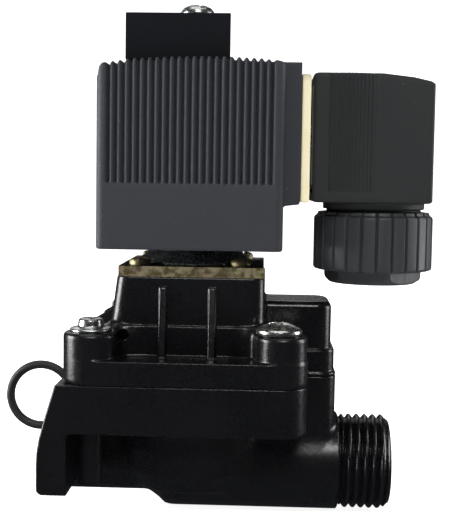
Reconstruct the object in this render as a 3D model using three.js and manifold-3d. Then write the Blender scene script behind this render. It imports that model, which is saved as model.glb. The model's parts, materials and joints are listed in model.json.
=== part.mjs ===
// Solenoid valve: a glass-filled plastic body with a diaphragm, a bonnet with a side duct,
// a guide tube with its armature, a coil on the tube, and a plug with a cable gland on the coil.
// Millimetres. X points to the threaded outlet, Z up, Y away from the front. z = 0 is the base plane.
import * as THREE from "three";
import { mergeVertices } from "three/addons/utils/BufferGeometryUtils.js";
import Module from "manifold-3d";

const wasm = await Module();
wasm.setup();

// ---- driving dimensions -------------------------------------------------------------------
// heights
const splitZ = 31.5;
const slabBottomZ = 21.3;
const bonnetFlangeTopZ = 36.6;
const columnTopZ = 42.1;
const bonnetTopZ = 53.4;
const plateTopZ = 55.6;
const coilBottomZ = 59.2;
const coilTopZ = 99;
const capTopZ = 108.9;
const screwTopZ = 112.5;
// body
const slabX = [-25.05, 25.05];
const slabY = 24.4;
const cornerR = 5.3;
const legR = 2.5;
const columnX = 19.1;
const columnY = 19.1;
const frontLeftColumnX = -20.2;
const frontLeftColumnY = -18.7;
const frontLeftColumnR = 5.7;
const outletZ = 10.8;
const outletR = 10.8;
const outletBoreR = 7.2;
const outletEndX = 44.4;
const threadStartX = 33.3;
const threadR = 10.4775;
const threadPitch = 1.814;
const threadDepth = 1.162;
const inletZ = 9.7;
const inletR = 6.5;
const inletBoreR = 4.5;
const inletFaceX = -30.6;
const flangeFootZ = 7.9;
const seatR = 9;
const seatBoreR = 6.5;
const seatZ = 27.5;
const chamberR = 14.5;
const ductX = 23.5;
// spare ring and its eye
const ringAt = [-40.9, 27.2, 18.3];
const ringMajorR = 7.9;
const ringMinorR = 1.05;
// armature and tube
const tubeR = 6.6;
const tubeBoreR = 6.1;
const armatureR = 6;
const armatureTopZ = 76.2;
const coreBottomZ = 78;
const plateScrewX = 10.9;
const plateScrewY = 11.3;
// coil
const coilHalf = 19;
const coilHalfX = 19.5;
const grooveCount = 23;
const groovePitch = 1.533;
const grooveFirstX = -16.9;
const grooveBottomZ = 73;
const plugAxisZ = 83;
const padX = 23;
const plugX = [25.1, 51.3];
// gland
const glandX = 39.9;
const nutR = 13.2;

// ---- shape helpers ------------------------------------------------------------------------
function signedVolume(positions, index) {
  let total = 0;
  for (let i = 0; i < index.length; i += 3) {
    const [a, b, c] = [0, 1, 2].map((k) => new THREE.Vector3().fromArray(positions, 3 * index[i + k]));
    total += a.dot(b.cross(c)) / 6;
  }
  return total;
}

function solid(geometry) {
  const bare = geometry.clone();
  bare.deleteAttribute("normal");
  bare.deleteAttribute("uv");
  const merged = mergeVertices(bare, 1e-4);
  const vertProperties = new Float32Array(merged.attributes.position.array);
  const triVerts = new Uint32Array(merged.index.array);
  if (signedVolume(vertProperties, triVerts) < 0) {
    for (let i = 0; i < triVerts.length; i += 3) {
      [triVerts[i], triVerts[i + 1]] = [triVerts[i + 1], triVerts[i]];
    }
  }
  return new wasm.Manifold(new wasm.Mesh({ numProp: 3, vertProperties, triVerts }));
}

function box(x, y, z) {
  const geometry = new THREE.BoxGeometry(x[1] - x[0], y[1] - y[0], z[1] - z[0]);
  geometry.translate((x[0] + x[1]) / 2, (y[0] + y[1]) / 2, (z[0] + z[1]) / 2);
  return solid(geometry);
}

function shapeFrom(points) {
  return new THREE.Shape(points.map(([u, v]) => new THREE.Vector2(u, v)));
}

function roundedRect(u, v, r) {
  const shape = new THREE.Shape();
  shape.absarc(u[1] - r, v[1] - r, r, 0, Math.PI / 2);
  shape.absarc(u[0] + r, v[1] - r, r, Math.PI / 2, Math.PI);
  shape.absarc(u[0] + r, v[0] + r, r, Math.PI, 1.5 * Math.PI);
  shape.absarc(u[1] - r, v[0] + r, r, 1.5 * Math.PI, 2 * Math.PI);
  return shape;
}

function extrude(shape, depth, curveSegments = 6) {
  return new THREE.ExtrudeGeometry(shape, { depth, bevelEnabled: false, curveSegments });
}

// a plan outline in (x, y), raised from z[0] to z[1]
function prismZ(shape, z, curveSegments) {
  return solid(extrude(shape, z[1] - z[0], curveSegments).translate(0, 0, z[0]));
}

// a front outline in (x, z), running from y[0] to y[1]
function prismY(shape, y, curveSegments) {
  return solid(extrude(shape, y[1] - y[0], curveSegments).rotateX(Math.PI / 2).translate(0, y[1], 0));
}

// a side outline in (y, z), running from x[0] to x[1]
function prismX(shape, x, curveSegments) {
  const turn = new THREE.Matrix4().set(0, 0, 1, 0, 1, 0, 0, 0, 0, 1, 0, 0, 0, 0, 0, 1);
  return solid(extrude(shape, x[1] - x[0], curveSegments).applyMatrix4(turn).translate(x[0], 0, 0));
}

function cylinderZ(x, y, r, z, sides = 24) {
  const geometry = new THREE.CylinderGeometry(r, r, z[1] - z[0], sides);
  return solid(geometry.rotateX(Math.PI / 2).translate(x, y, (z[0] + z[1]) / 2));
}

function cylinderX(y, z, r, x, sides = 28) {
  const geometry = new THREE.CylinderGeometry(r, r, x[1] - x[0], sides);
  return solid(geometry.rotateZ(Math.PI / 2).translate((x[0] + x[1]) / 2, y, z));
}

function ringZ(x, y, inner, outer, z, sides = 24) {
  return cylinderZ(x, y, outer, z, sides).subtract(cylinderZ(x, y, inner, [z[0] - 1, z[1] + 1], sides));
}

// a profile of [radius, height] points turned about a vertical axis at (x, y)
function turnedZ(profile, x = 0, y = 0, sides = 20) {
  const geometry = new THREE.LatheGeometry(profile.map(([r, h]) => new THREE.Vector2(r, h)), sides);
  return solid(geometry.rotateX(Math.PI / 2).translate(x, y, 0));
}

// a profile of [radius, x] points turned about an axis along X at (y, z)
function turnedX(profile, y, z, sides = 28) {
  const geometry = new THREE.LatheGeometry(profile.map(([r, h]) => new THREE.Vector2(r, h)), sides);
  return solid(geometry.rotateZ(-Math.PI / 2).translate(0, y, z));
}

function torusZ(x, y, z, major, minor, sides = 26, section = 6) {
  return solid(new THREE.TorusGeometry(major, minor, section, sides).translate(x, y, z));
}

class Helix extends THREE.Curve {
  constructor(r, z0, z1, turns) {
    super();
    Object.assign(this, { r, z0, z1, turns });
  }

  getPoint(t) {
    const angle = 2 * Math.PI * this.turns * t;
    const height = this.z0 + (this.z1 - this.z0) * t;
    return new THREE.Vector3(this.r * Math.cos(angle), this.r * Math.sin(angle), height);
  }
}

function coilSpring(r, wire, z, turns) {
  const section = new THREE.Shape();
  section.absarc(0, 0, wire, 0, 2 * Math.PI);
  const path = new Helix(r, z[0] + wire, z[1] - wire, turns);
  const settings = { steps: Math.round(turns * 8), bevelEnabled: false, curveSegments: 2, extrudePath: path };
  return solid(new THREE.ExtrudeGeometry(section, settings));
}

// ---- materials ----------------------------------------------------------------------------
const looks = {
  body_plastic: [0x17171a, 0.3, 0],
  coil_plastic: [0x34363b, 0.75, 0],
  plug_plastic: [0x38383a, 0.7, 0],
  gland_plastic: [0x2f3236, 0.55, 0],
  cap_plastic: [0x14161a, 0.6, 0],
  gasket_rubber: [0xefe6c4, 0.7, 0],
  black_rubber: [0x101010, 0.6, 0],
  zinc_yellow: [0xa8904c, 0.35, 1],
  bright_steel: [0xb8bab8, 0.25, 1],
  tube_steel: [0xa0a2a2, 0.3, 1],
  core_steel: [0x85878a, 0.35, 1],
  copper: [0xb5683c, 0.35, 1],
  brass: [0xc2a14e, 0.35, 1],
  insert_plastic: [0x8c8c86, 0.6, 0],
};

const group = new THREE.Group();

function addPart(name, shape, look) {
  const mesh = shape.getMesh();
  const geometry = new THREE.BufferGeometry();
  geometry.setAttribute("position", new THREE.BufferAttribute(Float32Array.from(mesh.vertProperties), 3));
  geometry.setIndex(new THREE.BufferAttribute(Uint32Array.from(mesh.triVerts), 1));
  geometry.computeVertexNormals();
  const [color, roughness, metalness] = looks[look];
  const part = new THREE.Mesh(geometry, new THREE.MeshStandardMaterial({ color, roughness, metalness }));
  part.name = name;
  group.add(part);
}

const corners = [[-1, -1], [1, -1], [-1, 1], [1, 1]];

// the front left screw stands a little further out than the other three
function columnAt([sx, sy]) {
  if (sx < 0 && sy < 0) {
    return [frontLeftColumnX, frontLeftColumnY];
  }
  return [sx * columnX, sy * columnY];
}

// ---- valve body ---------------------------------------------------------------------------
function outletProfile() {
  const root = threadR - threadDepth;
  const points = [[0, -9.9], [7.4, -9.9], [8.1, -8.8], [9.2, -7.2], [10.45, -5.8], [outletR, -3.4]];
  points.push([outletR, threadStartX - 0.6], [root, threadStartX]);
  for (let x = threadStartX + 0.5; x + threadPitch < outletEndX - 0.2; x += threadPitch) {
    points.push([root, x], [threadR, x + 0.4 * threadPitch], [threadR, x + 0.6 * threadPitch]);
  }
  points.push([root, outletEndX], [0, outletEndX]);
  return points;
}

function inletFlange() {
  const side = shapeFrom([
    [-24.6, splitZ], [-26.8, splitZ], [-29.1, 23.8], [-30, 20.4], [-30.5, 17.3], [inletFaceX, 15],
    [inletFaceX, 9.2], [-30.1, 8.2], [-29.4, flangeFootZ], [-24.4, flangeFootZ], [-24.4, 20], [-24.6, 22],
  ]);
  const face = shapeFrom([
    [-slabY, splitZ], [-slabY, 9], [-23.6, 8.2], [-22.8, flangeFootZ], [22.8, flangeFootZ], [23.6, 8.2],
    [slabY, 9], [slabY, splitZ],
  ]);
  const plate = prismY(side, [-slabY, slabY]).intersect(prismX(face, [-33, -24]));
  return plate.add(cylinderX(0, inletZ, 8, [inletFaceX, -29], 28));
}

function ringEye() {
  const plan = shapeFrom([
    [-20, 20], [-29.9, 20], [-29.9, slabY + 0.2], [-35.6, slabY + 0.2], [-35.6, 29.8], [-27, 29.8], [-20, 24.2],
  ]);
  const front = prismY(roundedRect([-35.6, -18], [14.6, 20.6], 2), [19, 31], 4);
  const lug = prismZ(plan, [14, 24]).intersect(front);
  const tunnel = new THREE.TorusGeometry(ringMajorR, ringMinorR + 0.3, 8, 40);
  return lug.subtract(solid(tunnel.rotateX(Math.PI / 2).translate(...ringAt)));
}

// one level of the side duct: a rounded block reaching out to x, half as deep as halfY
function ductStep(x, halfY, z) {
  return prismZ(roundedRect([13, x], [-halfY, halfY], 3.6), z, 4);
}

function bodyOutside() {
  let body = prismZ(roundedRect(slabX, [-slabY, slabY], cornerR), [slabBottomZ, splitZ]);
  body = body.add(box([slabX[0], 4], [-slabY, slabY], [slabBottomZ, splitZ]));
  for (const corner of corners) {
    const [x, y] = columnAt(corner);
    if (x < 0) {
      body = body.add(cylinderZ(x, y, legR, [9.5, slabBottomZ + 1], 20));
    }
  }
  const bowl = [[0, 6], [12.5, 6], [15.4, 10], [16.8, 15.5], [17.2, 22], [0, 22]];
  body = body.add(turnedZ(bowl, 0, 0, 32));
  body = body.add(turnedX(outletProfile(), 0, outletZ, 26));
  body = body.add(cylinderX(0, inletZ, inletR, [inletFaceX + 1, -4], 26));
  body = body.add(box([-3.2, 32.6], [-1.8, 1.8], [0, outletZ]));
  body = body.add(box([-24.8, -8], [-inletR, inletR], [inletZ, slabBottomZ + 1]));
  return body.add(ductStep(31.9, 8.8, [outletZ, splitZ])).add(inletFlange()).add(ringEye());
}

function bodyPassages() {
  let cut = cylinderX(0, outletZ, outletBoreR, [0, outletEndX + 1], 28);
  cut = cut.add(cylinderZ(0, 0, seatBoreR, [outletZ - 6, seatZ + 1], 24));
  cut = cut.add(ringZ(0, 0, seatR, chamberR, [20, splitZ + 1], 28));
  cut = cut.add(cylinderZ(0, 0, chamberR, [seatZ, splitZ + 1], 28));
  cut = cut.add(cylinderZ(0, 0, 18.3, [30, splitZ + 1], 32));
  cut = cut.add(cylinderX(0, inletZ, inletBoreR, [inletFaceX - 1, -9.6], 24));
  cut = cut.add(box([-14, -9.6], [-inletBoreR, inletBoreR], [inletZ, 21]));
  const groove = [[5.3, inletFaceX - 1], [6.5, inletFaceX - 1], [6.5, inletFaceX + 1], [5.3, inletFaceX + 1]];
  cut = cut.add(turnedX([...groove, groove[0]], 0, inletZ, 24));
  cut = cut.add(cylinderZ(ductX, 0, 1.5, [outletZ, splitZ + 1], 12));
  cut = cut.add(cylinderZ(ductX, 0, 3.2, [30.3, splitZ + 1], 20));
  for (const corner of corners) {
    cut = cut.add(cylinderZ(...columnAt(corner), 2.1, [20.5, splitZ + 1], 12));
  }
  return cut;
}

function valveBody() {
  return bodyOutside().subtract(bodyPassages());
}

// ---- bonnet -------------------------------------------------------------------------------
function towerRib(x) {
  const side = shapeFrom([[-14, 34], [-20.6, 34], [-18.2, 40], [-16.2, 51.2], [-14, 51.2]]);
  return prismX(side, [x - 0.75, x + 0.75]);
}

function sideGusset(y) {
  const side = shapeFrom([[-14, 34], [-19.4, 34], [-18.8, 42], [-16, 46], [-14, 46]]);
  return prismY(side, [y - 0.75, y + 0.75]);
}

function tower() {
  const lower = prismZ(roundedRect([-16.4, 16.6], [-16.9, 16.9], 3.4), [34, 43]);
  const upper = prismZ(roundedRect([-15.4, 16], [-16, 16], 3), [42.9, bonnetTopZ]);
  return lower.add(upper);
}

function bonnetDuctBoss() {
  const lower = ductStep(31.9, 8.8, [splitZ, 32.3]).add(ductStep(31.5, 8.5, [32.2, 37.3]));
  return lower.add(ductStep(30.7, 7.8, [37.2, 46.6])).add(ductStep(29.6, 6.8, [46.5, 47.6]));
}

function bonnetOutside() {
  let shape = prismZ(roundedRect(slabX, [-slabY, slabY], cornerR), [splitZ, bonnetFlangeTopZ]);
  for (const corner of corners) {
    const [x, y] = columnAt(corner);
    const u = [13 * Math.sign(x), x].sort((a, b) => a - b);
    const v = [13 * Math.sign(y), y].sort((a, b) => a - b);
    shape = shape.add(cylinderZ(x, y, cornerR, [splitZ, columnTopZ], 20));
    shape = shape.add(box(u, v, [34, columnTopZ - 1.2]));
  }
  shape = shape.add(cylinderZ(frontLeftColumnX, frontLeftColumnY, frontLeftColumnR, [splitZ, columnTopZ], 24));
  shape = shape.add(tower()).add(towerRib(-5.4)).add(towerRib(5)).add(bonnetDuctBoss());
  for (const y of [-6, 6]) {
    shape = shape.add(sideGusset(y));
  }
  return shape;
}

function bonnetPassages() {
  let cut = turnedZ([[0, splitZ - 1], [15.5, splitZ - 1], [15.5, 35], [13, 37.6], [0, 37.6]], 0, 0, 28);
  cut = cut.add(ringZ(0, 0, 2.2, 6.5, [42.5, 51]));
  cut = cut.add(cylinderZ(0, 0, 6.5, [45, bonnetTopZ + 1]));
  cut = cut.add(cylinderZ(0, 0, 9.6, [50.2, bonnetTopZ + 1], 28));
  cut = cut.add(cylinderZ(0, 0, 0.8, [40.2, 46], 12));
  cut = cut.add(cylinderX(0, 40.2, 1.1, [-0.5, ductX + 0.6], 12));
  cut = cut.add(cylinderZ(ductX, 0, 1.5, [splitZ - 1, 40.2], 16));
  cut = cut.add(cylinderZ(-4.4, 0, 1, [37, 43], 12));
  for (const [sx, sy] of corners) {
    cut = cut.add(cylinderZ(...columnAt([sx, sy]), 2.7, [splitZ - 1, columnTopZ + 1], 16));
    cut = cut.add(cylinderZ(sx * plateScrewX, sy * plateScrewY, 1.65, [45.6, bonnetTopZ + 1], 12));
  }
  return cut;
}

function bonnet() {
  return bonnetOutside().subtract(bonnetPassages());
}

// ---- diaphragm ----------------------------------------------------------------------------
function diaphragm() {
  const profile = [
    [3, 27.55], [9.8, 27.55], [10.8, 28.2], [13.6, 30.1], [14.6, 30.05], [18.2, 30.05], [18.2, 31.45],
    [14.8, 31.45], [13, 31.1], [10.2, 29.3], [9.6, 29.1], [3, 29.1], [3, 27.55],
  ];
  return turnedZ(profile, 0, 0, 32);
}

function diaphragmPlate() {
  const profile = [
    [0, 26.6], [2.9, 26.6], [2.9, 29.15], [9.4, 29.15], [9.4, 30.6], [4.6, 30.6], [4.6, 32.2], [0, 32.2],
  ];
  return turnedZ(profile).subtract(cylinderZ(7, 0, 0.5, [28, 31], 10));
}

// ---- screws -------------------------------------------------------------------------------
function bodyScrew(x, y) {
  const profile = [
    [0, 22], [2, 22], [2, columnTopZ], [4.75, columnTopZ], [4.75, 43.1], [4.3, 44], [3, 44.8], [0, 45.1],
  ];
  const slot = box([x - 0.6, x + 0.6], [y - 6, y + 6], [44, 46]);
  return turnedZ(profile, x, y, 20).subtract(slot);
}

function plateScrew(x, y) {
  const top = plateTopZ;
  const profile = [[0, 46], [1.5, 46], [1.5, top], [2.3, top], [2.3, top + 0.8], [1.6, top + 1.4], [0, top + 1.6]];
  const slot = box([x - 0.3, x + 0.3], [y - 3, y + 3], [top + 0.9, top + 2]);
  return turnedZ(profile, x, y, 14).subtract(slot);
}

// ---- guide tube, core and armature --------------------------------------------------------
function guideTube() {
  const profile = [
    [tubeBoreR, 50.4], [tubeR, 50.4], [tubeR, 51.6], [9.4, 51.6], [9.4, 53.3], [tubeR, 53.3], [tubeR, 98.3],
    [tubeBoreR, 98.3], [tubeBoreR, 50.4],
  ];
  return turnedZ(profile);
}

function fixedCore() {
  const profile = [
    [0, coreBottomZ], [3.4, coreBottomZ], [3.4, 79.3], [4.6, 79.3], [4.6, coreBottomZ], [6.05, coreBottomZ],
    [6.05, 98.3], [2.05, 98.3], [2.05, 90], [0, 89],
  ];
  return turnedZ(profile);
}

function armature() {
  const profile = [
    [0, 47.8], [2.9, 47.8], [2.9, 46.6], [5.4, 46.6], [armatureR, 47.4], [armatureR, armatureTopZ],
    [2.8, armatureTopZ], [2.8, 66], [0, 65.4],
  ];
  return turnedZ(profile);
}

function armatureSeal() {
  return turnedZ([[0, 45.05], [2.4, 45.05], [2.85, 46.5], [2.85, 47.75], [0, 47.75]], 0, 0, 24);
}

// a flared metal collar that stands on the clamp plate and carries the coil's seal
function tubeCollar() {
  const profile = [
    [6.8, plateTopZ], [12.9, plateTopZ], [12.9, 56.2], [10, 58.4], [6.8, 58.4], [6.8, plateTopZ],
  ];
  return turnedZ(profile, 0, 0, 32);
}

// ---- coil ---------------------------------------------------------------------------------
function groovedOutline() {
  const r = 1.7;
  const depth = 0.6;
  const face = [];
  for (let i = 0; i < grooveCount; i += 1) {
    const x = grooveFirstX + i * groovePitch;
    face.push([x - 0.4, -coilHalf], [x - 0.2, -coilHalf + depth], [x + 0.2, -coilHalf + depth]);
    face.push([x + 0.4, -coilHalf]);
  }
  const points = [...face];
  for (const [sx, sy, start] of [[1, -1, 1.5], [1, 1, 0]]) {
    for (let k = 0; k <= 4; k += 1) {
      const angle = (start + k / 8) * Math.PI;
      points.push([
        sx * (coilHalfX - r) + r * Math.cos(angle),
        sy * (coilHalf - r) + r * Math.sin(angle),
      ]);
    }
  }
  points.push(...[...face].reverse().map(([x, y]) => [x, -y]));
  for (const [sx, sy, start] of [[-1, 1, 0.5], [-1, -1, 1]]) {
    for (let k = 0; k <= 4; k += 1) {
      const angle = (start + k / 8) * Math.PI;
      points.push([
        sx * (coilHalfX - r) + r * Math.cos(angle),
        sy * (coilHalf - r) + r * Math.sin(angle),
      ]);
    }
  }
  return shapeFrom(points);
}

function coilPad() {
  const side = shapeFrom([
    [17, 66], [17, 98.6], [padX, 98.6], [padX, 69], [19.6, 68.6], [19.4, 66],
  ]);
  return prismY(side, [-14.6, 14.6]);
}

function coilHousing() {
  const half = [-coilHalf, coilHalf];
  let shape = prismZ(roundedRect([-coilHalfX, coilHalfX], half, 1.7), [coilBottomZ, grooveBottomZ], 4);
  const crown = shapeFrom([
    [-20, 70], [-20, 95.4], [-19.2, 97], [-18.3, 97.6], [-12.3, 98.4], [-5, 98.8], [2, coilTopZ], [12, 98.9],
    [20, 98.4], [20, 70],
  ]);
  shape = shape.add(prismZ(groovedOutline(), [grooveBottomZ, coilTopZ]).intersect(prismY(crown, [-20, 20])));
  shape = shape.add(coilPad());
  shape = shape.subtract(cylinderZ(0, 0, 6.9, [coilBottomZ - 1, 98.5]));
  shape = shape.subtract(cylinderZ(0, 0, 2.2, [98, coilTopZ + 1], 16));
  shape = shape.subtract(box([-15.7, 15.7], [-13.2, 13.2], [61.4, 96.6]));
  for (const [y, z] of [[-9, plugAxisZ], [9, plugAxisZ], [0, plugAxisZ - 9]]) {
    const tall = y !== 0;
    const half = tall ? [0.45, 3.2] : [3.2, 0.45];
    shape = shape.subtract(box([17.5, padX + 1], [y - half[0], y + half[0]], [z - half[1], z + half[1]]));
  }
  return shape.subtract(cylinderX(0, plugAxisZ, 1.55, [18, padX + 1], 16));
}

function yoke() {
  const outer = box([-15.5, 15.5], [-9, 9], [61.6, 96.4]);
  const inner = box([-13.5, 13.5], [-10, 10], [63.6, 94.4]);
  return outer.subtract(inner).subtract(cylinderZ(0, 0, 6.9, [60, 98]));
}

function bobbin() {
  const profile = [
    [6.9, 63.8], [13, 63.8], [13, 65], [8, 65], [8, 93], [13, 93], [13, 94.2], [6.9, 94.2], [6.9, 63.8],
  ];
  return turnedZ(profile);
}

function coilCap() {
  const plan = shapeFrom([[-14.3, -12.5], [7.9, -12.5], [6.9, 12.5], [-13.3, 12.5]]);
  return prismZ(plan, [coilTopZ, capTopZ], 3).subtract(cylinderZ(0, 0, 2.2, [coilTopZ - 1, capTopZ + 1], 16));
}

function coilScrew() {
  const profile = [
    [0, 91], [1.95, 91], [1.95, capTopZ + 0.6], [3.85, capTopZ + 0.6], [3.85, 110.8], [3.3, 111.9],
    [2, screwTopZ - 0.1], [0, screwTopZ],
  ];
  return turnedZ(profile, 0, 0, 24).subtract(box([-0.5, 0.5], [-5, 5], [111.3, 113]));
}

function contactPin(y, z, flat) {
  const half = flat ? [3.15, 0.4] : [0.4, 3.15];
  return box([17.7, 34], [y - half[0], y + half[0]], [z - half[1], z + half[1]]);
}

// ---- plug ---------------------------------------------------------------------------------
function connectorGasket() {
  const plate = prismX(roundedRect([-14, 14], [69.4, 96.5], 2), [padX, plugX[0]], 4);
  let shape = plate.subtract(cylinderX(0, plugAxisZ, 2.2, [20, 27], 16));
  for (const [y, z] of [[-9, plugAxisZ], [9, plugAxisZ], [0, plugAxisZ - 9]]) {
    const half = y !== 0 ? [0.8, 3.6] : [3.6, 0.8];
    shape = shape.subtract(box([20, 27], [y - half[0], y + half[0]], [z - half[1], z + half[1]]));
  }
  return shape;
}

function connectorHousing() {
  const front = shapeFrom([
    [plugX[0], 70], [plugX[0] + 0.6, 69.5], [plugX[1] - 1.5, 69.5], [plugX[1], 71], [plugX[1], 94.2],
    [plugX[1] - 1.5, 95.7], [39, 96.7], [plugX[0] + 0.6, 96.7], [plugX[0], 96.1],
  ]);
  const plan = prismZ(roundedRect([23.4, plugX[1]], [-14, 14], 1.6), [60, 100], 4);
  let shape = prismY(front, [-14, 14]).intersect(plan);
  const neck = [[0, 60], [10.4, 60]];
  for (let z = 63.4; z < 67.2; z += 1.5) {
    neck.push([10.4, z], [10.95, z + 0.5], [10.95, z + 0.8], [10.4, z + 1.3]);
  }
  neck.push([10.95, 68.2], [10.95, 70.5], [0, 70.5]);
  shape = shape.add(turnedZ(neck, glandX, 0, 32));
  shape = shape.subtract(box([24, plugX[1] - 2], [-12, 12], [71.5, 94.3]));
  shape = shape.subtract(cylinderZ(glandX, 0, 8.4, [59, 67.6]));
  shape = shape.subtract(cylinderZ(glandX, 0, 6, [67, 72], 24));
  shape = shape.subtract(cylinderX(0, plugAxisZ, 1.9, [48, 53], 12));
  return shape.subtract(cylinderX(0, plugAxisZ, 3.4, [plugX[1] - 0.8, 53], 16));
}

function terminalBlock() {
  let shape = box([25.4, 38], [-11.8, 11.8], [73.2, 94.1]);
  shape = shape.subtract(box([36, 39], [-12.5, 12.5], [73, 78]));
  for (const y of [-9, 9]) {
    shape = shape.subtract(box([24, 35.6], [y - 1.9, y + 1.9], [plugAxisZ - 4.3, plugAxisZ + 4.3]));
  }
  shape = shape.subtract(box([24, 35.6], [-4.4, 4.4], [72, plugAxisZ - 6.5]));
  for (const [x, y] of [[33, -9], [33, 9]]) {
    shape = shape.subtract(cylinderZ(x, y, 1.9, [plugAxisZ + 4, 95], 16));
  }
  return shape.subtract(cylinderX(0, plugAxisZ, 1.9, [24, 40], 16));
}

function contact(y, z, flat) {
  const outerHalf = flat ? [4.2, 1.7] : [1.7, 4.1];
  const innerHalf = flat ? [3.4, 0.6] : [0.6, 3.4];
  const outer = box([25.7, 35.4], [y - outerHalf[0], y + outerHalf[0]], [z - outerHalf[1], z + outerHalf[1]]);
  return outer.subtract(box([25, 36], [y - innerHalf[0], y + innerHalf[0]], [z - innerHalf[1], z + innerHalf[1]]));
}

function terminalScrew(x, y, z) {
  const profile = [[0, z[0]], [1.2, z[0]], [1.2, z[1] - 1.2], [1.8, z[1] - 1.2], [1.8, z[1]], [0, z[1]]];
  return turnedZ(profile, x, y, 16).subtract(box([x - 0.3, x + 0.3], [y - 3, y + 3], [z[1] - 0.6, z[1] + 1]));
}

function connectorScrew() {
  const profile = [
    [0, 19.2], [1.45, 19.2], [1.45, 50.6], [3.1, 50.6], [3.1, 51.6], [2.5, 52], [0, 52],
  ];
  return turnedX(profile, 0, plugAxisZ, 20).subtract(box([51.4, 53], [-5, 5], [plugAxisZ - 0.4, plugAxisZ + 0.4]));
}

function nutRibs() {
  const points = [];
  const ribs = 25;
  for (let i = 0; i < ribs; i += 1) {
    const wide = i % 5 === 0 ? 0.62 : 0.44;
    const middle = (2 * Math.PI * i) / ribs;
    const half = (Math.PI / ribs) * wide;
    const valley = (Math.PI / ribs) * 0.88;
    for (const [angle, r] of [[-valley, nutR - 0.5], [-half, nutR], [half, nutR], [valley, nutR - 0.5]]) {
      points.push([glandX + r * Math.cos(middle + angle), r * Math.sin(middle + angle)]);
    }
  }
  return shapeFrom(points);
}

function glandNut() {
  let shape = prismZ(nutRibs(), [55, 66.6]);
  shape = shape.add(turnedZ([[0, 66.5], [12.5, 66.5], [12.2, 67.5], [0, 67.5]], glandX, 0, 28));
  shape = shape.add(turnedZ([[0, 54.6], [12.6, 54.6], [13, 55.1], [0, 55.1]], glandX, 0, 28));
  const hex = [];
  for (let k = 0; k < 6; k += 1) {
    const angle = (k * Math.PI) / 3 - (17 * Math.PI) / 180;
    hex.push([glandX + 10.9 * Math.cos(angle), 10.9 * Math.sin(angle)]);
  }
  const chamfer = turnedZ([[0, 51.7], [9.4, 51.7], [11, 52.9], [11, 56], [0, 56]], glandX, 0, 28);
  shape = shape.add(prismZ(shapeFrom(hex), [51.7, 56]).intersect(chamfer));
  shape = shape.subtract(cylinderZ(glandX, 0, 11.15, [58.4, 69], 28));
  return shape.subtract(cylinderZ(glandX, 0, 5.5, [51, 60], 24));
}

// ---- assembly -----------------------------------------------------------------------------
addPart("valve_body", valveBody(), "body_plastic");
addPart("bonnet", bonnet(), "body_plastic");
addPart("diaphragm", diaphragm(), "black_rubber");
addPart("diaphragm_plate", diaphragmPlate(), "insert_plastic");
addPart("diaphragm_spring", coilSpring(5.6, 0.5, [30.65, 37.55], 4.5), "bright_steel");
corners.forEach(([sx, sy], i) => {
  addPart(`body_screw_${i + 1}`, bodyScrew(...columnAt([sx, sy])), "bright_steel");
  addPart(`plate_screw_${i + 1}`, plateScrew(sx * plateScrewX, sy * plateScrewY), "zinc_yellow");
});
addPart("duct_oring", torusZ(ductX, 0, 30.95, 2.4, 0.6, 18, 6), "black_rubber");
const inletRing = new THREE.TorusGeometry(5.9, 0.55, 6, 24);
addPart("inlet_oring", solid(inletRing.rotateY(Math.PI / 2).translate(inletFaceX + 0.45, 0, inletZ)), "black_rubber");
const spareRing = new THREE.TorusGeometry(ringMajorR, ringMinorR, 8, 40);
addPart("spare_oring", solid(spareRing.rotateX(Math.PI / 2).translate(...ringAt)), "black_rubber");
const plateSheet = box([-15, 15.7], [-15.6, 15.6], [bonnetTopZ, plateTopZ]);
let clampPlate = plateSheet.subtract(cylinderZ(0, 0, 6.9, [50, 60]));
for (const [sx, sy] of corners) {
  clampPlate = clampPlate.subtract(cylinderZ(sx * plateScrewX, sy * plateScrewY, 1.7, [50, 60], 16));
}
addPart("flange_plate", clampPlate, "zinc_yellow");
addPart("guide_tube", guideTube(), "tube_steel");
addPart("tube_oring", torusZ(0, 0, 50.9, 8.05, 0.65, 24, 6), "black_rubber");
addPart("fixed_core", fixedCore(), "core_steel");
addPart("shading_ring", ringZ(0, 0, 3.5, 4.5, [coreBottomZ, 79.2], 28), "copper");
addPart("armature", armature(), "core_steel");
addPart("armature_seal", armatureSeal(), "black_rubber");
addPart("armature_spring", coilSpring(2.2, 0.35, [66.05, 77.9], 6), "bright_steel");
addPart("tube_collar", tubeCollar(), "bright_steel");
addPart("coil_seal", ringZ(0, 0, 6.75, 9.4, [58.4, coilBottomZ]), "black_rubber");
addPart("coil_housing", coilHousing(), "coil_plastic");
addPart("yoke", yoke(), "core_steel");
addPart("bobbin", bobbin(), "insert_plastic");
addPart("winding", ringZ(0, 0, 8.3, 12.6, [65.1, 92.9]), "copper");
addPart("coil_cap", coilCap(), "cap_plastic");
addPart("coil_screw_washer", ringZ(0, 0, 2.1, 4.4, [capTopZ, capTopZ + 0.6], 28), "bright_steel");
addPart("coil_screw", coilScrew(), "bright_steel");
addPart("pin_line", contactPin(-9, plugAxisZ, false), "bright_steel");
addPart("pin_neutral", contactPin(9, plugAxisZ, false), "bright_steel");
addPart("pin_earth", contactPin(0, plugAxisZ - 9, true), "bright_steel");
addPart("connector_gasket", connectorGasket(), "gasket_rubber");
addPart("connector_housing", connectorHousing(), "plug_plastic");
addPart("terminal_block", terminalBlock(), "insert_plastic");
addPart("contact_line", contact(-9, plugAxisZ, false), "brass");
addPart("contact_neutral", contact(9, plugAxisZ, false), "brass");
addPart("contact_earth", contact(0, plugAxisZ - 9, true), "brass");
addPart("terminal_screw_1", terminalScrew(33, -9, [plugAxisZ + 4.2, 93.6]), "bright_steel");
addPart("terminal_screw_2", terminalScrew(33, 9, [plugAxisZ + 4.2, 93.6]), "bright_steel");
addPart("connector_screw", connectorScrew(), "bright_steel");
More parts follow.
